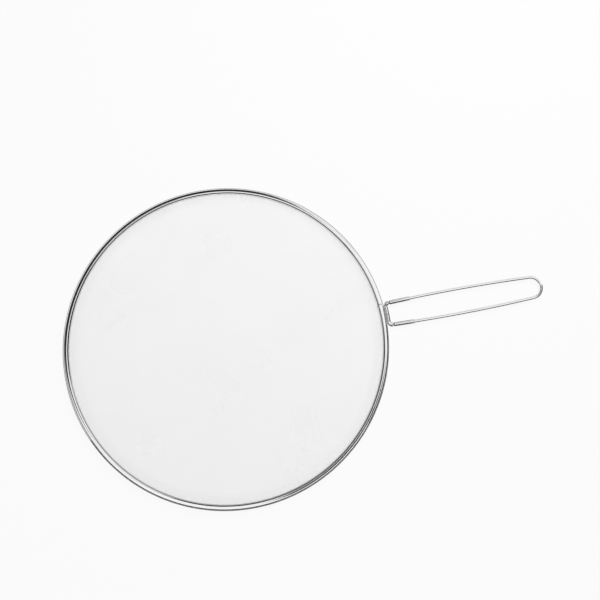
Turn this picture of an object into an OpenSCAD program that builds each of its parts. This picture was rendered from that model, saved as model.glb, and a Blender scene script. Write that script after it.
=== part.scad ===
// Flat sieve of fine wire cloth in a rolled steel rim, with a long wire loop for a handle.
// It lies on the XY plane with the raised side of its cloth up and its handle along +X.
// The origin is on the surface that it lies on, under the middle of its overall length.

/* [Rim] */
// Diameter over the rim
disc_d = 330; // [240:1:400]
// Width of the rim, measured towards the middle of the disc
rim_w = 6.4; // [5.5:0.1:9]
// Height of the rim
rim_h = 6.2; // [5.2:0.1:9]
// Thickness of the strip that the rim is rolled from
strip_t = 0.5; // [0.3:0.05:0.8]
// Radius of the rim's rolled corners, over the strip
roll_r = 2.5; // [1.5:0.1:2.6]
// Direction of the seam in the strip, counted from the middle of the handle
seam_angle = 3.9; // [3:0.1:90]
// Gap between the two ends of the strip
seam_gap = 0.5; // [0.2:0.1:2]

/* [Hoop inside the rim] */
// Diameter of the hoop's wire
hoop_wire_d = 2.2; // [1.6:0.1:2.7]
// Gap between the two ends of the hoop's wire, which is on the far side from the handle
hoop_gap = 0.6; // [0.2:0.1:3]

/* [Wire cloth] */
// Thickness of the woven cloth over its crossing wires
cloth_t = 0.4; // [0.25:0.05:0.5]
// Height that the flat middle of the cloth is pressed up above its clamped hem
face_lift = 2.2; // [0:0.1:3]
// Width of the sloping shoulder round the flat middle
shoulder_w = 11; // [4:0.5:30]
// Width of the level border between the shoulder and the rim
border_w = 1.5; // [0.5:0.1:6]

/* [Handle] */
// Length of the handle, from the rim to the tip of the loop
handle_len = 169; // [80:1:260]
// Distance from the rim to the place where the two legs are furthest apart
belly_x = 75; // [40:1:110]
// Distance that each leg bows out there, past the width of the round end
leg_bow = 1.9; // [0.5:0.1:6]
// Diameter of the handle's wire
wire_d = 4; // [3:0.1:5]
// Radius of the round end of the loop, at the middle of the wire
tip_r = 11; // [9:0.1:20]
// Radius of the two bends beside the rim, at the middle of the wire
bend_r = 3.4; // [2.7:0.1:8]
// Gap between the two ends of the wire, which meet against the middle of the rim
butt_gap = 0.4; // [0.1:0.1:2]

/* [Welds] */
// Diameter of a weld between the handle and the rim
weld_d = 4.2; // [3.6:0.1:6]
// Distance along the rim from the start of each bend to the middle of its weld
weld_inset = 2.4; // [2:0.1:4]

/* [Fits] */
// Clearance between the hoop, the cloth folded round it and the lips that clamp the cloth
clamp_gap = 0.05; // [0.02:0.01:0.1]
// Clearance between the folded hem and the inside of the rim
hem_gap = 0.2; // [0.05:0.05:0.5]
// Clearance between the handle's wire and the outside of the rim, which the welds fill
weld_gap = 0.1; // [0.02:0.01:0.3]

/* [Hidden] */
$fa = 1;
$fs = 0.3;
eps = 1;                    // how far a cut runs past the surface that it opens

rim_r = disc_d / 2;
lip_r = rim_r - rim_w;      // inner edge of the rim
disc_x = -handle_len / 2;   // centre of the disc, so that the overall length is centred on the origin

// The folded hem, with the hoop inside its fold, sits in the lower outer corner of the rolled strip.
fold_r = hoop_wire_d / 2 + clamp_gap;
hem_r = fold_r + cloth_t;
corner_r = roll_r - strip_t;
corner_steps = 6;           // straight steps in a quarter turn of the strip, too short to feel
hem_seat = max(hem_r + hem_gap, corner_r - (corner_r - hem_r - hem_gap) * sqrt(0.5));
hoop_z = strip_t + hem_seat;
hoop_r = rim_r - strip_t - hem_seat;
hem_z = hoop_z + fold_r;    // underside of the clamped cloth
face_z = hem_z + face_lift; // underside of the flat middle
border_r = lip_r - border_w;
face_r = border_r - shoulder_w;

// Plan of the handle: an arc against the rim, a tight bend, a bowed leg and a round end, all tangent.
wire_z = rim_h / 2;
base_r = rim_r + weld_gap + wire_d / 2;
tip_x = rim_r + handle_len - wire_d / 2 - tip_r;
widest_x = rim_r + belly_x;
widest_y = tip_r + leg_bow;
leg_r = (pow(tip_x - widest_x, 2) + pow(widest_y, 2) - pow(tip_r, 2)) / (2 * leg_bow);
leg_c = [widest_x, widest_y - leg_r];
tip_c = [tip_x, 0];
bend_c = crossing(leg_c, leg_r - bend_r, base_r + bend_r);
rim_turn = bearing([0, 0], bend_c);  // where the wire turns away from the rim
weld_angle = rim_turn - weld_inset / base_r * 180 / PI;
weld_turn = weld_d / base_r * 180 / PI; // turn along the rim that the length of a weld takes
join_proud = 0.02;                   // how far the collar at a join of two arcs stands out from the wire
join_len = 0.3;                      // length of that collar

// Direction from point a to point b
function bearing(a, b) = atan2(b.y - a.y, b.x - a.x);

// The upper crossing of a circle of radius ra round point a with one of radius ro round the disc's centre
function crossing(a, ra, ro) =
    let (d = norm(a), along = (ro * ro - ra * ra + d * d) / (2 * d), across = sqrt(ro * ro - along * along))
    along * a / d + across * [-a.y, a.x] / d;

module on_disc() {
    translate([disc_x, 0, 0]) children();
}

// A rectangle whose corners turn in short straight steps, with its lower inner corner at the given place
module rolled_outline(at, w, h, r) {
    turns = [for (step = [0 : corner_steps]) 90 * step / corner_steps];
    quarter = [for (turn = turns) [w / 2 - r + r * cos(turn), h / 2 - r + r * sin(turn)]];
    translate([at.x + w / 2, at.y + h / 2]) polygon(concat(
        quarter,
        [for (i = [corner_steps : -1 : 0]) [-quarter[i].x, quarter[i].y]],
        [for (point = quarter) -point],
        [for (i = [corner_steps : -1 : 0]) [quarter[i].x, -quarter[i].y]]
    ));
}

// Section of the rolled strip: a closed tube but for the slit that the cloth goes in by
module strip_section() {
    difference() {
        rolled_outline([lip_r, 0], rim_w, rim_h, roll_r);
        rolled_outline([lip_r + strip_t, strip_t], rim_w - 2 * strip_t, rim_h - 2 * strip_t, corner_r);
        translate([lip_r - eps, hem_z - clamp_gap])
            square([strip_t + roll_r + eps, cloth_t + 2 * clamp_gap]);
    }
}

// Round wire bent along an arc in plan, from one direction to another
module wire_arc(centre, radius, from, to, d, z) {
    translate([centre.x, centre.y, z]) rotate([0, 0, from])
        rotate_extrude(angle = to - from, $fn = 256) translate([radius, 0]) circle(d = d, $fn = 48);
}

// The strip, rolled into a ring whose two ends meet at the seam
module rim_band() {
    color("gainsboro") on_disc() difference() {
        rotate_extrude($fn = 256) strip_section();
        rotate([0, 0, seam_angle]) translate([lip_r - eps, -seam_gap / 2, -eps])
            cube([rim_w + 2 * eps, seam_gap, rim_h + 2 * eps]);
    }
}

// The wire hoop that stiffens the rim
module rim_hoop() {
    half_gap = asin(hoop_gap / 2 / hoop_r);
    color("silver") on_disc()
        wire_arc([0, 0], hoop_r, half_gap - 180, 180 - half_gap, hoop_wire_d, hoop_z);
}

// The cloth: a flat raised middle, a sloping shoulder, a level border and a hem folded round the hoop
module wire_cloth() {
    color("whitesmoke") on_disc() rotate_extrude($fn = 256) {
        polygon([
            [0, face_z], [face_r, face_z], [border_r, hem_z], [hoop_r, hem_z],
            [hoop_r, hem_z + cloth_t], [border_r, hem_z + cloth_t], [face_r, face_z + cloth_t],
            [0, face_z + cloth_t]
        ]);
        translate([hoop_r, hoop_z]) intersection() {
            difference() {
                circle(r = fold_r + cloth_t);
                circle(r = fold_r);
            }
            translate([0, -hoop_z]) square([rim_w, 2 * hoop_z]);
        }
    }
}

// A collar over the place where two arcs of the wire meet, which makes one solid of them
module arc_join(centre, radius, direction) {
    translate([centre.x, centre.y, wire_z]) rotate([0, 0, direction]) translate([radius, 0, 0])
        rotate([90, 0, 0]) cylinder(d = wire_d + 2 * join_proud, h = join_len, center = true, $fn = 48);
}

// Half of the handle's wire, from the butt joint against the rim round to the tip of the loop
module half_loop() {
    leg_start = bearing(leg_c, bend_c);
    leg_end = bearing(leg_c, tip_c);
    wire_arc([0, 0], base_r, asin(butt_gap / 2 / base_r), rim_turn, wire_d, wire_z);
    arc_join([0, 0], base_r, rim_turn);
    wire_arc(bend_c, bend_r, leg_start, 180 + rim_turn, wire_d, wire_z);
    arc_join(leg_c, leg_r, leg_start);
    wire_arc(leg_c, leg_r, leg_end, leg_start, wire_d, wire_z);
    arc_join(leg_c, leg_r, leg_end);
    wire_arc(tip_c, tip_r, 0, leg_end, wire_d, wire_z);
}

// One wire, bent to a loop with both ends against the rim
module handle_loop() {
    color("gainsboro") on_disc() {
        half_loop();
        mirror([0, 1, 0]) half_loop();
        arc_join(tip_c, tip_r, 0);
    }
}

// A weld: what a round bead fills between the wire and the rim, on both sides of where they touch
module weld_bead() {
    difference() {
        rotate([0, 0, weld_angle]) translate([rim_r + weld_gap / 2, 0, wire_z])
            rotate([0, 90, 0]) sphere(d = weld_d);
        rotate_extrude($fn = 256) rolled_outline([lip_r, 0], rim_w, rim_h, roll_r);
        wire_arc([0, 0], base_r, weld_angle - weld_turn, weld_angle + weld_turn, wire_d, wire_z);
    }
}

module upper_weld() {
    color("darkgray") on_disc() weld_bead();
}

module lower_weld() {
    color("darkgray") on_disc() mirror([0, 1, 0]) weld_bead();
}

rim_band();
rim_hoop();
wire_cloth();
handle_loop();
upper_weld();
lower_weld();
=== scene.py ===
"""Looks of a flat wire-cloth sieve: a rolled rim, woven wire cloth and a welded wire loop for a handle.

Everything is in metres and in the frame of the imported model. The sieve lies on z = 0, its handle along +X.
"""

import math

import bpy
import numpy as np
from mathutils import Matrix, Vector


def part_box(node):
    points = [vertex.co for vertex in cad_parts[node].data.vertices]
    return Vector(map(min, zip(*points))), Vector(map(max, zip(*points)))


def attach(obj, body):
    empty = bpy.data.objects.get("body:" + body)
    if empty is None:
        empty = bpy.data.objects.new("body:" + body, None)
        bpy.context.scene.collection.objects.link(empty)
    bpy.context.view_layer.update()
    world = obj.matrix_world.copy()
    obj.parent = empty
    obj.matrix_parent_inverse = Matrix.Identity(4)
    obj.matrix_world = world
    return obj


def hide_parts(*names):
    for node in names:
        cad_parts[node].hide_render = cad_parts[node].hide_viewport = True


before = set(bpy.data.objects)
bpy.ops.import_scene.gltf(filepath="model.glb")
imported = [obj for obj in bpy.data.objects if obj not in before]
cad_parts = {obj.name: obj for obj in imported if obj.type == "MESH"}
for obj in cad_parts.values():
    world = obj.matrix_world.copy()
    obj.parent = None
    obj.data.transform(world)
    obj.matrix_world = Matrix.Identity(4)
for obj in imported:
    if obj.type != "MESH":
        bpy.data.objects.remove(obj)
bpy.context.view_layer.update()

# ---------------------------------------------------------------- sizes

MM = 0.001
rim_low, rim_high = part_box("rim_band")
_, cloth_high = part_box("wire_cloth")
handle_low, handle_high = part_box("handle_loop")

# The disc and its rim
CENTRE_X = (rim_low.x + rim_high.x) / 2
RIM_R = (rim_high.x - rim_low.x) / 2
RIM_H = rim_high.z
RIM_W = 6.4 * MM
STRIP_T = 0.5 * MM        # thickness of the rolled strip
ROLL_R = 2.5 * MM         # outer radius of its rolled corners
SEAM_ANGLE = 3.9          # direction of the seam, degrees from the handle
SEAM_GAP = 0.5 * MM
LIP_R = RIM_R - RIM_W     # inner edge of the rim
HOOP_GAP = 0.6 * MM       # between the ends of the hoop inside the rim

# The cloth, from its flat middle to the hem folded round the hoop
CLOTH_T = 0.4 * MM
CLAMP_GAP = 0.05 * MM
FACE_LIFT = 2.2 * MM                             # height of the raised middle above the clamped border
SHOULDER_W = 11 * MM                             # width of the slope between them
BORDER_R = LIP_R - 1.5 * MM                      # where that slope ends
HEM_Z = cloth_high.z - FACE_LIFT - CLOTH_T / 2   # middle of the cloth where it is clamped
FOLD_R = 1.35 * MM                               # radius of the fold, at the middle of the cloth
HOOP_R = cloth_high.x - CENTRE_X - FOLD_R - CLOTH_T / 2
CLOTH_WIRE_R = CLOTH_T / 4
CLOTH_PITCH = 1.02 * MM                          # from one wire of the cloth to the next

# The handle's wire
WIRE_R = 2 * MM
WIRE_Z = (handle_low.z + handle_high.z) / 2
RIM_CLEARANCE = 0.1 * MM
BASE_R = RIM_R + RIM_CLEARANCE + WIRE_R   # of the stretch that follows the rim
TIP_R = 11 * MM
BEND_R = 3.4 * MM
LEG_BOW = 1.9 * MM                        # how far each leg bows out beyond the tip's width
WIDEST_X = RIM_R + 75 * MM                # where that is, from the middle of the disc
TIP_X = handle_high.x - CENTRE_X - WIRE_R - TIP_R
BUTT_GAP = 0.4 * MM                       # between the wire's two ends, in the middle of that stretch

# The welds
WELD_LENGTH = 4.2 * MM
WELD_H = 1.75 * MM        # half the height of a weld
WELD_INSET = 2.4 * MM     # from the start of a bend to the middle of its weld

# Where two faces meet at more than this angle, their edge is crisp and not smoothed over
CRISP = math.radians(50)


# ---------------------------------------------------------------- meshes


def shell(name, vertices, quads, body="root", uv=None, values=None):
    """A mesh object of quads, facing outwards: they are turned if the signed volume is negative.

    uv gives a pair of numbers for each corner of each quad, and values one number for each vertex.
    """
    vertices = np.asarray(vertices, float).reshape(-1, 3)
    quads = np.asarray(quads, np.int32).reshape(-1, 4)
    a, b, c, d = (vertices[quads[:, i]] for i in range(4))
    volume = np.einsum("ij,ij->", a, np.cross(b, c)) + np.einsum("ij,ij->", a, np.cross(c, d))
    if volume < 0:
        quads = quads[:, ::-1]
        uv = None if uv is None else uv[:, ::-1]
    mesh = bpy.data.meshes.new(name)
    mesh.vertices.add(len(vertices))
    mesh.vertices.foreach_set("co", vertices.astype(np.float32).ravel())
    mesh.loops.add(quads.size)
    mesh.loops.foreach_set("vertex_index", np.ascontiguousarray(quads).ravel())
    mesh.polygons.add(len(quads))
    mesh.polygons.foreach_set("loop_start", np.arange(0, quads.size, 4, dtype=np.int32))
    mesh.polygons.foreach_set("use_smooth", np.ones(len(quads), bool))
    if uv is not None:
        layer = mesh.uv_layers.new(name="OFBake")
        layer.data.foreach_set("uv", np.ascontiguousarray(uv, np.float32).ravel())
    if values is not None:
        mesh.attributes.new("tone", "FLOAT", "POINT").data.foreach_set("value", values.astype(np.float32))
    mesh.update(calc_edges=True)
    thing = bpy.data.objects.new(name, mesh)
    bpy.context.scene.collection.objects.link(thing)
    if body:
        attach(thing, body)
    return thing


def grid_quads(rows, columns, closed_columns):
    """Corner numbers of the quads of a grid of vertices, whose last column may join its first."""
    i = np.arange(rows - 1)[:, None]
    j = np.arange(columns if closed_columns else columns - 1)[None, :]
    k = (j + 1) % columns
    return np.stack(np.broadcast_arrays(i * columns + j, (i + 1) * columns + j,
                                        (i + 1) * columns + k, i * columns + k), -1).reshape(-1, 4)


def grid_uv(rows, columns):
    """A place in the unit square for each corner of a closed grid's quads, no two quads in one place."""
    i = np.arange(rows - 1)[:, None] / (rows - 1)
    j = np.arange(columns)[None, :] / columns
    u0, v0 = np.broadcast_arrays(i, j)
    u1, v1 = u0 + 1 / (rows - 1), v0 + 1 / columns
    corners = [(u0, v0), (u1, v0), (u1, v1), (u0, v1)]
    return np.stack([np.stack(c, -1) for c in corners], -2).reshape(-1, 4, 2)


def end_caps(rows, columns):
    """Corner numbers of the quads that close the two ends of a swept section.

    Each end is a ladder of quads, whose rungs join the two halves of the section.
    """
    k = np.arange(columns // 2 - 1)
    ladder = np.column_stack([k, k + 1, columns - 2 - k, columns - 1 - k])
    return ladder[:, ::-1], ladder + (rows - 1) * columns


def swept_quads(rows, columns):
    """Corner numbers of all the quads of a closed section carried along an open line."""
    return np.vstack([grid_quads(rows, columns, True), *end_caps(rows, columns)])


def arc(centre, radius, start, end, steps):
    """Points and outward directions on an arc: the cosine and sine of even steps of angle, in degrees."""
    angle = np.radians(np.linspace(start, end, steps + 1))
    out = np.column_stack([np.cos(angle), np.sin(angle)])
    return np.asarray(centre) + radius * out, out


def rolled_path(inset):
    """The strip's section as radius and height, from its lower lip round to its upper lip.

    A short straight wall is followed by three quarter arcs and by one that stops just above the cloth. inset
    moves the path inwards, which gives the inner face of the strip.
    """
    radius = ROLL_R - inset
    inner, outer = LIP_R + ROLL_R, RIM_R - ROLL_R
    low, high = ROLL_R, RIM_H - ROLL_R
    top_lip = 180 - math.degrees(math.asin((HEM_Z + CLOTH_T / 2 + CLAMP_GAP - high) / ROLL_R))
    lower_lip = [[LIP_R + inset, HEM_Z - CLOTH_T / 2 - CLAMP_GAP]]
    return np.vstack([
        lower_lip,
        arc((inner, low), radius, 180, 270, 9)[0],
        arc((outer, low), radius, 270, 360, 9)[0],
        arc((outer, high), radius, 0, 90, 12)[0],
        arc((inner, high), radius, 90, top_lip, 12)[0],
    ])


def make_rim():
    """The rolled strip: its section carried round the disc from one side of the seam to the other."""
    outside, inside = rolled_path(0), rolled_path(STRIP_T)
    section = np.vstack([outside, inside[::-1]])
    half_gap = math.degrees(SEAM_GAP / 2 / RIM_R)
    stations = 721
    turns = np.linspace(SEAM_ANGLE + half_gap, SEAM_ANGLE + 360 - half_gap, stations)
    turns = np.radians(turns)[:, None]
    points = np.stack([CENTRE_X + section[:, 0] * np.cos(turns), section[:, 0] * np.sin(turns),
                       np.broadcast_to(section[:, 1], (stations, len(section)))], -1)
    rows, columns = points.shape[:2]
    corner = 0.001                      # both ends share one small corner of the unit square
    cap_uv = np.zeros((len(outside) - 1, 4, 2)) + [[0, 0], [corner, 0], [corner, corner], [0, corner]]
    uv = np.vstack([grid_uv(rows, columns), cap_uv[:, ::-1], cap_uv])
    rim = shell("polished_rim", points, swept_quads(rows, columns), uv=uv)
    rim.data.set_sharp_from_angle(angle=CRISP)
    return rim


def bearing(a, b):
    """Direction from one point in plan to another, in degrees."""
    return math.degrees(math.atan2(b[1] - a[1], b[0] - a[0]))


def handle_plan():
    """Centres and radius of the arcs of the upper half of the handle, in plan from the disc's centre.

    The tip's circle touches the leg's bowed circle where the leg ends. The tight bend's circle touches
    the leg's circle from inside, and the circle of the wire along the rim from outside.
    """
    widest_y = TIP_R + LEG_BOW
    leg_r = ((TIP_X - WIDEST_X) ** 2 + widest_y ** 2 - TIP_R ** 2) / (2 * LEG_BOW)
    leg_c = np.array([WIDEST_X, widest_y - leg_r])
    tip_c = np.array([TIP_X, 0.0])
    near, far = leg_r - BEND_R, BASE_R + BEND_R
    apart = np.linalg.norm(leg_c)
    along = (far ** 2 - near ** 2 + apart ** 2) / (2 * apart)
    across = math.sqrt(far ** 2 - along ** 2)
    bend_c = along * leg_c / apart + across * np.array([-leg_c[1], leg_c[0]]) / apart
    return leg_c, leg_r, tip_c, bend_c


def wire_line():
    """The line of the handle's wire in plan, with the direction square to it at each point.

    It runs along the rim, round a tight bend, along a bowed leg and round the tip, and then back as a
    mirror image.
    """
    leg_c, leg_r, tip_c, bend_c = handle_plan()
    turn = bearing((0, 0), bend_c)
    leg_start, leg_end = bearing(leg_c, bend_c), bearing(leg_c, tip_c)
    butt = math.degrees(BUTT_GAP / 2 / BASE_R)
    parts = [
        arc((0, 0), BASE_R, butt, turn, 10),
        arc(bend_c, BEND_R, 180 + turn, leg_start, 26),
        arc(leg_c, leg_r, leg_start, leg_end, 90),
        arc(tip_c, TIP_R, leg_end, 0, 32),
    ]
    parts[1] = (parts[1][0], -parts[1][1])
    line = np.vstack([p[1:] if i else p for i, (p, _) in enumerate(parts)])
    square = np.vstack([n[1:] if i else n for i, (_, n) in enumerate(parts)])
    back = slice(-2, None, -1)
    mirrored = np.array([1, -1])
    return np.vstack([line, line[back] * mirrored]), np.vstack([square, square[back] * mirrored])


def make_handle():
    """One round wire along its line: a circle square to the line at every point, with flat sawn ends."""
    line, square = wire_line()
    sides = 32
    around = np.radians(np.arange(sides) * 360 / sides)
    ring_out = WIRE_R * np.cos(around)[None, :, None] * square[:, None, :]
    plan = line[:, None, :] + ring_out + [CENTRE_X, 0]
    height = np.broadcast_to(WIRE_Z + WIRE_R * np.sin(around), plan.shape[:2])
    points = np.dstack([plan, height])
    handle = shell("handle_wire", points, swept_quads(*points.shape[:2]))
    handle.data.set_sharp_from_angle(angle=CRISP)
    return handle


def make_hoop():
    """The hoop's round wire, carried round the disc inside the folded hem."""
    low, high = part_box("rim_hoop")
    radius = (high.z - low.z) / 2
    middle_r, middle_z = high.x - CENTRE_X - radius, (high.z + low.z) / 2
    half_gap = math.degrees(HOOP_GAP / 2 / middle_r)
    stations, sides = 481, 12
    turns = np.radians(np.linspace(half_gap - 180, 180 - half_gap, stations))[:, None]
    around = np.radians(np.arange(sides) * 360 / sides)
    out = middle_r + radius * np.cos(around)
    height = np.broadcast_to(middle_z + radius * np.sin(around), (stations, sides))
    points = np.stack([CENTRE_X + out * np.cos(turns), out * np.sin(turns), height], -1)
    hoop = shell("hoop_wire", points, swept_quads(stations, sides))
    hoop.data.set_sharp_from_angle(angle=CRISP)
    return hoop


def make_weld(name, side):
    """A weld bead: a web between the rim's wall and the wire, highest in its middle, fading at both ends.

    At each place along the bead its section is a square with round corners. One side follows the rim, the
    other follows the wire, and the top and the bottom sag between them. Two waves make it a little lumpy.
    """
    squareness = 0.5       # power of the sine and the cosine: 1 would give a round section
    waist = 0.78           # height halfway between rim and wire, as a share of the height beside them
    bite = 1.04            # reach to both sides, as a share of the way to the rim and to the wire
    stations, sides = 25, 40
    *_, bend_c = handle_plan()
    middle = math.radians(bearing((0, 0), bend_c)) - WELD_INSET / BASE_R
    along = np.sin(np.linspace(-math.pi / 2, math.pi / 2, stations))[:, None]
    around = np.linspace(0, 2 * math.pi, sides, endpoint=False)[None, :]
    across = np.sign(np.cos(around)) * np.abs(np.cos(around)) ** squareness
    up = np.sign(np.sin(around)) * np.abs(np.sin(around)) ** squareness
    lump = 1 + 0.06 * np.sin(5 * along + 2 * up) + 0.04 * np.cos(9 * along - across)
    height = WELD_H * np.sqrt(np.clip(1 - along ** 2, 0, 1)) * lump
    z = height * up * (waist + (1 - waist) * across ** 2)
    past_wall = np.clip(np.abs(z) - (RIM_H / 2 - ROLL_R), 0, None)
    wall = RIM_R - ROLL_R + np.sqrt(ROLL_R ** 2 - past_wall ** 2)
    highest = 0.99 * WIRE_R
    wire = BASE_R - np.sqrt(WIRE_R ** 2 - np.clip(z, -highest, highest) ** 2)
    radius = (wall + wire) / 2 + (wire - wall) / 2 * across * bite
    turn = middle + along * WELD_LENGTH / 2 / BASE_R
    points = np.dstack([CENTRE_X + radius * np.cos(turn), side * radius * np.sin(turn), WIRE_Z + z])
    return shell(name, points, grid_quads(*points.shape[:2], True))


def cloth_place(x, y, lift):
    """Where a point of the flat cloth goes, given in plan from the disc's centre, with its lift.

    The lift is how far the point stands off the middle of the cloth. The cloth is flat as far as the
    shoulder, falls by a smooth step to the level of its clamped border, and at the hoop turns down round a
    half circle and back under it.
    """
    flat = np.hypot(x, y)
    step = np.clip((BORDER_R - flat) / SHOULDER_W, 0, 1)
    fold = np.clip((flat - HOOP_R) / FOLD_R, 0, math.pi)
    radius = np.minimum(flat, HOOP_R) + FOLD_R * np.sin(fold)
    z = HEM_Z + FACE_LIFT * step ** 2 * (3 - 2 * step) - FOLD_R * (1 - np.cos(fold))
    slope = 6 * FACE_LIFT / SHOULDER_W * step * (1 - step)
    tilt = np.arctan(slope) + fold
    radius = radius + lift * np.sin(tilt)
    scale = radius / np.maximum(flat, 1e-9)
    return np.stack([CENTRE_X + x * scale, y * scale, z + lift * np.cos(tilt)], -1)


def weave(name, across, count):
    """The wires of the cloth that run one way, as several pieces of about the same size.

    A wire passes over one crossing wire and under the next, so it is a zigzag with a bend at each
    crossing. Each has four sides, and ends where the hem ends. across says that the wires run along Y,
    and not along X.
    """
    reach = HOOP_R + FOLD_R * math.pi
    half = int(reach / CLOTH_PITCH)
    number = np.arange(-half, half + 1)
    line = number * CLOTH_PITCH
    end = np.sqrt(np.maximum(reach ** 2 - line ** 2, 0))[:, None]
    station = np.clip(np.broadcast_to(line, (len(line), len(line))), -end, end)
    over = np.where((number[:, None] + number[None, :]) % 2 == 0, 1.0, -1.0) * (-1 if across else 1)
    sides = np.array([(1, 0), (0, 1), (-1, 0), (0, -1)]) * CLOTH_WIRE_R
    along = np.broadcast_to(station[:, :, None], station.shape + (4,))
    aside = line[:, None, None] + sides[:, 0]
    aside = np.broadcast_to(aside, along.shape)
    lift = over[:, :, None] * CLOTH_WIRE_R + sides[:, 1]
    points = cloth_place(aside, along, lift) if across else cloth_place(along, aside, lift)
    tone = np.random.default_rng(7 if across else 3).normal(0, 1, len(line))

    shortest = 0.02 * CLOTH_PITCH       # a bit of wire shorter than this is left out
    long_enough = np.diff(station, axis=1) > shortest
    share = np.cumsum(long_enough.sum(1)) / long_enough.sum()
    band = np.minimum((share * count).astype(int), count - 1)
    pieces = []
    for b in range(count):
        wires = np.flatnonzero(band == b)
        wire, place = np.nonzero(long_enough[wires])
        side = np.arange(4)
        corner = (wire[:, None] * len(line) + place[:, None]) * 4 + side
        following = (side + 1) % 4 - side
        quads = np.stack([corner, corner + 4, corner + 4 + following, corner + following], -1)
        quads = quads.reshape(-1, 4)
        u = (station[wires][wire, place] / reach + 1) / 2
        u_next = (station[wires][wire, place + 1] / reach + 1) / 2
        v = (wire[:, None] * 4 + side) / (4 * len(wires))
        v_next = v + 1 / (4 * len(wires))
        u, u_next = np.broadcast_to(u[:, None], v.shape), np.broadcast_to(u_next[:, None], v.shape)
        corners = [(u, v), (u_next, v), (u_next, v_next), (u, v_next)]
        uv = np.stack([np.stack(c, -1) for c in corners], -2).reshape(-1, 4, 2)
        used, quads = np.unique(quads, return_inverse=True)
        piece_points = points[wires].reshape(-1, 3)[used]
        piece_tone = np.repeat(tone[wires], len(line) * 4)[used]
        quads = quads.reshape(-1, 4)
        pieces.append(shell(f"{name}_{b + 1}", piece_points, quads, uv=uv, values=piece_tone))
    return pieces


# ---------------------------------------------------------------- materials

PAINTED_GAP_SHADE_R = LIP_R + 0.95 * MM    # middle of the painted shade line on the strip, for the shade of the crevice where its lip meets the cloth
PAINTED_GAP_SHADE_HALF_W = 0.3 * MM        # it is darkest this far to both sides
PAINTED_GAP_SHADE_FADE = 0.7 * MM          # and has faded away this far from its middle
PAINTED_GAP_SHADE_LEVEL = 0.4              # how dark it is, as a share of the strip's brightness
PAINTED_RIM_SHADE = 0.84                 # brightness of the cloth beside the rim, as a share of its middle's: painted shade on its slope down to the rim


class Nodes:
    """A material and short ways to add nodes to it."""

    def __init__(self, name):
        self.material = bpy.data.materials.new(name)
        self.material.use_nodes = True
        self.tree = self.material.node_tree
        self.shader = self.tree.nodes["Principled BSDF"]

    def add(self, kind, **settings):
        node = self.tree.nodes.new("ShaderNode" + kind)
        for key, value in settings.items():
            if key in node.inputs:
                node.inputs[key].default_value = value
            else:
                setattr(node, key, value)
        return node

    def link(self, output, target):
        self.tree.links.new(output, target)

    def noise(self, vector, scale, detail=2.0, stretch=(1, 1, 1)):
        """Noise on the given coordinates, stretched along each axis."""
        mapping = self.add("Mapping")
        mapping.inputs["Scale"].default_value = stretch
        self.link(vector, mapping.inputs["Vector"])
        noise = self.add("TexNoise", Scale=scale, Detail=detail)
        self.link(mapping.outputs["Vector"], noise.inputs["Vector"])
        return noise.outputs["Fac"]

    def ramp(self, value, low, high, low_out, high_out):
        """Maps a value from one range to another, number or colour."""
        if isinstance(low_out, tuple):
            ramp = self.add("ValToRGB")
            ramp.color_ramp.elements[0].position = low
            ramp.color_ramp.elements[1].position = high
            ramp.color_ramp.elements[0].color = (*low_out, 1)
            ramp.color_ramp.elements[1].color = (*high_out, 1)
            self.link(value, ramp.inputs["Fac"])
            return ramp.outputs["Color"]
        span = self.add("MapRange")
        ends = {"From Min": low, "From Max": high, "To Min": low_out, "To Max": high_out}
        for key, number in ends.items():
            span.inputs[key].default_value = number
        self.link(value, span.inputs["Value"])
        return span.outputs["Result"]

    def from_middle(self, place):
        """Distance in plan from the middle of the disc."""
        offset = self.add("VectorMath", operation="MULTIPLY_ADD")
        offset.inputs[1].default_value = (1, 1, 0)
        offset.inputs[2].default_value = (-CENTRE_X, 0, 0)
        self.link(place, offset.inputs[0])
        length = self.add("VectorMath", operation="LENGTH")
        self.link(offset.outputs["Vector"], length.inputs[0])
        return length.outputs["Value"]

    def shaded(self, colour, share):
        """A colour made darker by a share between nought and one."""
        darker = self.add("VectorMath", operation="SCALE")
        self.link(colour, darker.inputs[0])
        self.link(share, darker.inputs["Scale"])
        return darker.outputs["Vector"]

    def bump(self, height, strength, distance):
        bump = self.add("Bump", Strength=strength, Distance=distance)
        self.link(height, bump.inputs["Height"])
        self.link(bump.outputs["Normal"], self.shader.inputs["Normal"])


def grey(brightness):
    """A neutral colour."""
    return (brightness, brightness, brightness)


def polished_steel(name, pattern):
    """Polished stainless steel: nearly even, with faint drawing lines along it and a few duller patches.

    The strip has a narrow line of painted shade near its inner edge, for the shade of the crevice where
    its lip meets the cloth. It fades to both sides.
    """
    n = Nodes(name)
    n.shader.inputs["Metallic"].default_value = 1
    place = n.add("TexCoord").outputs["Object"]
    patches = n.noise(place, 45, 3)
    colour = n.ramp(patches, 0.3, 0.7, grey(0.88), grey(0.95))
    # painted shade: a darker line near the strip's inner edge, for the shade of the crevice between its lip
    # and the cloth
    if pattern == "strip":
        beside = n.add("Math", operation="SUBTRACT")
        beside.inputs[1].default_value = PAINTED_GAP_SHADE_R
        n.link(n.from_middle(place), beside.inputs[0])
        apart = n.add("Math", operation="ABSOLUTE")
        n.link(beside.outputs["Value"], apart.inputs[0])
        fading = n.ramp(apart.outputs["Value"], PAINTED_GAP_SHADE_HALF_W, PAINTED_GAP_SHADE_FADE, PAINTED_GAP_SHADE_LEVEL, 1)
        colour = n.shaded(colour, fading)
    n.link(colour, n.shader.inputs["Base Color"])
    n.link(n.ramp(patches, 0.3, 0.75, 0.05, 0.10), n.shader.inputs["Roughness"])
    if pattern == "strip":
        lines = n.noise(n.add("UVMap", uv_map="OFBake").outputs["UV"], 1, 3, (60, 900, 1))
    else:
        lines = n.noise(place, 900, 3, (0.08, 1, 1))
    n.bump(lines, 0.01, 0.02 * MM)
    return n.material


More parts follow.
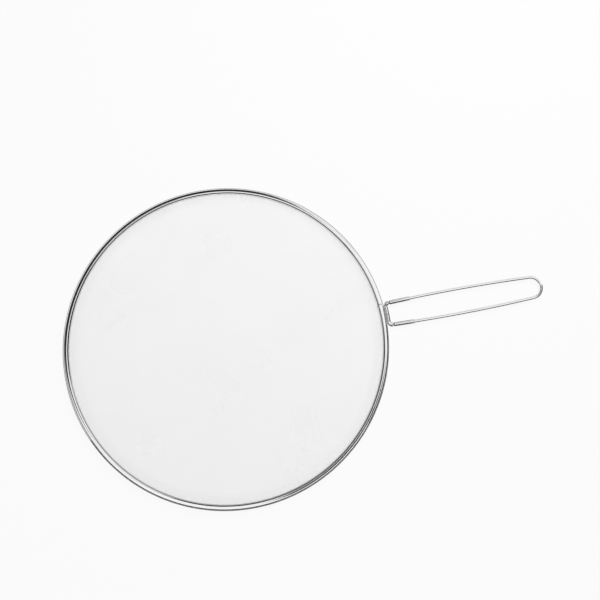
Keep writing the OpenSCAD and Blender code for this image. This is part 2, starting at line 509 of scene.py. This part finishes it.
def cloth_steel(name):
    """Bright drawn wires, each a little lighter or darker than the next, with wide soft patches over all.

    The cloth is a little darker toward the rim: painted shade for its slope down to the clamped border.
    """
    n = Nodes(name)
    n.shader.inputs["Metallic"].default_value = 0.35
    place = n.add("TexCoord").outputs["Object"]
    wide = n.noise(place, 14, 2)
    tone = n.add("Attribute", attribute_name="tone").outputs["Fac"]
    mixed = n.add("Math", operation="MULTIPLY_ADD")
    mixed.inputs[1].default_value = 0.05
    n.link(tone, mixed.inputs[0])
    n.link(wide, mixed.inputs[2])
    colour = n.ramp(mixed.outputs["Value"], 0.25, 0.75, grey(0.88), grey(0.94))
    # painted shade: the cloth darkens toward the rim, for the shade on its slope down to the border
    edge = n.ramp(n.from_middle(place), LIP_R - SHOULDER_W, LIP_R - 1 * MM, 1, PAINTED_RIM_SHADE)
    n.link(n.shaded(colour, edge), n.shader.inputs["Base Color"])
    n.link(n.ramp(wide, 0.3, 0.7, 0.26, 0.34), n.shader.inputs["Roughness"])
    return n.material


def hoop_steel(name):
    """Plain drawn wire, duller than the polished pieces, with a fine grain."""
    n = Nodes(name)
    n.shader.inputs["Metallic"].default_value = 1
    place = n.add("TexCoord").outputs["Object"]
    grain = n.noise(place, 700, 3)
    colour = n.ramp(grain, 0.3, 0.7, (0.52, 0.52, 0.53), (0.62, 0.62, 0.63))
    n.link(colour, n.shader.inputs["Base Color"])
    n.link(n.ramp(grain, 0.3, 0.7, 0.28, 0.4), n.shader.inputs["Roughness"])
    n.bump(grain, 0.15, 0.03 * MM)
    return n.material


def weld_steel(name):
    """Weld metal cleaned by electropolishing: grey, uneven and finely rippled."""
    n = Nodes(name)
    n.shader.inputs["Metallic"].default_value = 1
    place = n.add("TexCoord").outputs["Object"]
    ripples = n.noise(place, 1400, 4)
    colour = n.ramp(ripples, 0.3, 0.7, (0.34, 0.33, 0.32), grey(0.56))
    n.link(colour, n.shader.inputs["Base Color"])
    n.link(n.ramp(ripples, 0.3, 0.7, 0.22, 0.42), n.shader.inputs["Roughness"])
    n.bump(ripples, 0.5, 0.12 * MM)
    return n.material


def dress(thing, material, slot, *nodes):
    """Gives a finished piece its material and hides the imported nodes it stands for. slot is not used."""
    thing.data.materials.append(material)
    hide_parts(*nodes)


# ---------------------------------------------------------------- studio

BACKDROP_WHITE = 0.965    # brightness of the backdrop, where 1 is the lightest white
TABLE_WHITE = 0.964       # the table's own even brightness
TABLE_SHARE = 0.96        # how much of the table's look is its own brightness, the rest being lit white
SOFT_LIGHT = 0.42         # strength of the soft light from all round
FLAG_REACH = 20           # metres from the sieve to its flags, so that all of it reflects them alike


def seen_directly(tree):
    """One where a ray comes from the camera, a reflection or a pass through glass, otherwise nought."""
    path = tree.nodes.new("ShaderNodeLightPath")
    total = None
    for ray in ("Is Camera Ray", "Is Glossy Ray", "Is Transmission Ray"):
        if total is None:
            total = path.outputs[ray]
            continue
        most = tree.nodes.new("ShaderNodeMath")
        most.operation = "MAXIMUM"
        tree.links.new(total, most.inputs[0])
        tree.links.new(path.outputs[ray], most.inputs[1])
        total = most.outputs["Value"]
    return total


def make_world():
    """A white backdrop to the camera and to reflections, and plain soft light to everything else."""
    world = bpy.data.worlds.new("white_studio")
    bpy.context.scene.world = world
    world.use_nodes = True
    tree = world.node_tree
    back = tree.nodes["Background"]
    back.inputs["Color"].default_value = (1, 1, 1, 1)
    light = tree.nodes.new("ShaderNodeMapRange")
    light.inputs["To Min"].default_value = SOFT_LIGHT
    light.inputs["To Max"].default_value = BACKDROP_WHITE
    tree.links.new(seen_directly(tree), light.inputs["Value"])
    tree.links.new(light.outputs["Result"], back.inputs["Strength"])


def make_floor():
    """A white table: mostly its own even white, with a share of lit white that keeps the soft shadow."""
    edges = np.array([-4.0, 4.0])
    drop = 0.05 * MM
    corners = np.array([(x, y, -drop) for x in edges for y in edges])
    floor = shell("table", corners, [[0, 2, 3, 1]], body=None)
    material = bpy.data.materials.new("white_table")
    material.use_nodes = True
    tree = material.node_tree
    lit = tree.nodes["Principled BSDF"]
    lit.inputs["Base Color"].default_value = (*grey(0.9), 1)
    lit.inputs["Roughness"].default_value = 1
    lit.inputs["Specular IOR Level"].default_value = 0
    own = tree.nodes.new("ShaderNodeEmission")
    own.inputs["Color"].default_value = (*grey(TABLE_WHITE), 1)
    mix = tree.nodes.new("ShaderNodeMixShader")
    share = tree.nodes.new("ShaderNodeMath")
    share.operation = "MULTIPLY"
    share.inputs[1].default_value = TABLE_SHARE
    tree.links.new(seen_directly(tree), share.inputs[0])
    tree.links.new(share.outputs["Value"], mix.inputs["Fac"])
    tree.links.new(lit.outputs["BSDF"], mix.inputs[1])
    tree.links.new(own.outputs["Emission"], mix.inputs[2])
    tree.links.new(mix.outputs["Shader"], tree.nodes["Material Output"].inputs["Surface"])
    floor.data.materials.append(material)


def sphere_patch(azimuths, elevations):
    """Points of a patch of a wide sphere round the sieve, between two azimuths and two elevations.

    Both are in degrees: azimuths from the handle's direction, elevations from the table.
    """
    columns, rows = 25, 13
    turn = np.radians(np.linspace(*azimuths, columns))[:, None]
    rise = np.radians(np.linspace(*elevations, rows))[None, :]
    patch = np.dstack([np.cos(turn) * np.cos(rise), np.sin(turn) * np.cos(rise),
                       np.broadcast_to(np.sin(rise), (columns, rows))])
    return FLAG_REACH * patch + [CENTRE_X, 0, 0]


def ground_ring():
    """Points of a narrow flat ring laid round the rim, a hair above the table: painted shade of the table
    there.
    """
    stations = 97
    turn = np.radians(np.linspace(0, 360, stations))[:, None]
    reach = np.array([RIM_R + 0.5 * MM, RIM_R + 30 * MM])[None, :]
    return np.dstack([CENTRE_X + reach * np.cos(turn), reach * np.sin(turn), np.zeros((stations, 2))])


def make_flag(name, points, shade):
    """A studio flag in the shape of a grid of points, which shade makes black at 0 and white at 1.

    Only reflections see it, so it draws the grey and dark lines of polished steel and casts no shadow.
    """
    flag = shell(name, points, grid_quads(*points.shape[:2], False), body=None)
    material = bpy.data.materials.new(name)
    material.use_nodes = True
    tree = material.node_tree
    cloth = tree.nodes.new("ShaderNodeEmission")
    cloth.inputs["Color"].default_value = (*grey(shade), 1)
    tree.links.new(cloth.outputs["Emission"], tree.nodes["Material Output"].inputs["Surface"])
    flag.data.materials.append(material)
    flag.visible_camera = False
    flag.visible_diffuse = False
    flag.visible_shadow = False
    flag.visible_transmission = False


def make_key():
    """A large soft lamp, above the sieve and beyond it to the right as the camera sees it."""
    size = 0.7
    radiance = 6.0
    lamp = bpy.data.lights.new("key", "AREA")
    lamp.size = size
    lamp.energy = math.pi * size ** 2 * radiance
    thing = bpy.data.objects.new("key", lamp)
    bpy.context.scene.collection.objects.link(thing)
    turn, rise, reach = math.radians(55), math.radians(50), 0.85
    toward = (math.cos(turn) * math.cos(rise), math.sin(turn) * math.cos(rise), math.sin(rise))
    place = Vector(toward) * reach
    thing.location = place
    thing.rotation_euler = (-place).to_track_quat("-Z", "Y").to_euler()
    thing.visible_camera = False
    thing.visible_glossy = False


def make_camera():
    """A camera nearly straight above, aimed a little to the handle's side of the disc and rolled."""
    camera = bpy.data.cameras.new("camera")
    camera.lens = 51
    camera.sensor_width = 36
    thing = bpy.data.objects.new("camera", camera)
    bpy.context.scene.collection.objects.link(thing)
    aim = Vector((CENTRE_X + 81.2 * MM, 30.8 * MM, 5 * MM))
    forward = Vector((0.07541, 0.17958, -0.98085)).normalized()
    distance = 873.4 * MM
    roll = math.radians(-11.16)
    right = forward.cross(Vector((0, 1, 0))).normalized()
    up = right.cross(forward)
    upright = Matrix((right, up, -forward)).transposed()
    thing.matrix_world = (Matrix.Translation(aim - distance * forward) @ upright.to_4x4()
                          @ Matrix.Rotation(roll, 4, "Z"))
    bpy.context.scene.camera = thing


# ---------------------------------------------------------------- the sieve

strip = polished_steel("polished_strip", "strip")
wire = polished_steel("polished_wire", "wire")
cloth = cloth_steel("cloth_wire")

dress(make_rim(), strip, "rolled_strip", "rim_band")
dress(make_handle(), wire, "handle_wire", "handle_loop")
dress(make_hoop(), hoop_steel("hoop_wire"), "hoop_wire", "rim_hoop")
weld = weld_steel("weld_metal")
dress(make_weld("weld_bead_upper", 1), weld, "weld", "upper_weld")
dress(make_weld("weld_bead_lower", -1), weld, "weld", "lower_weld")
for piece in weave("warp_wires", False, 4) + weave("weft_wires", True, 4):
    dress(piece, cloth, "wire_cloth", "wire_cloth")

make_world()
make_floor()
make_key()
make_flag("flag_near", sphere_patch((197, 330), (0, 47)), 0.01)
make_flag("flag_far", sphere_patch((70, 155), (34, 80)), 0.03)
make_flag("flag_handle_side", sphere_patch((-30, 12), (0, 64)), 0.06)
make_flag("flag_left", sphere_patch((155, 197), (20, 65)), 0.25)
make_flag("flag_upper", sphere_patch((36, 70), (36, 52)), 0.35)
make_flag("flag_top", sphere_patch((-80, 27), (78, 89.5)), 0.03)
# painted shade: a dark ring that only reflections see, standing in for the table's shade beside the rim
make_flag("painted_ground_shade", ground_ring(), 0.02)
make_camera()

bpy.context.scene.view_settings.view_transform = "Standard"
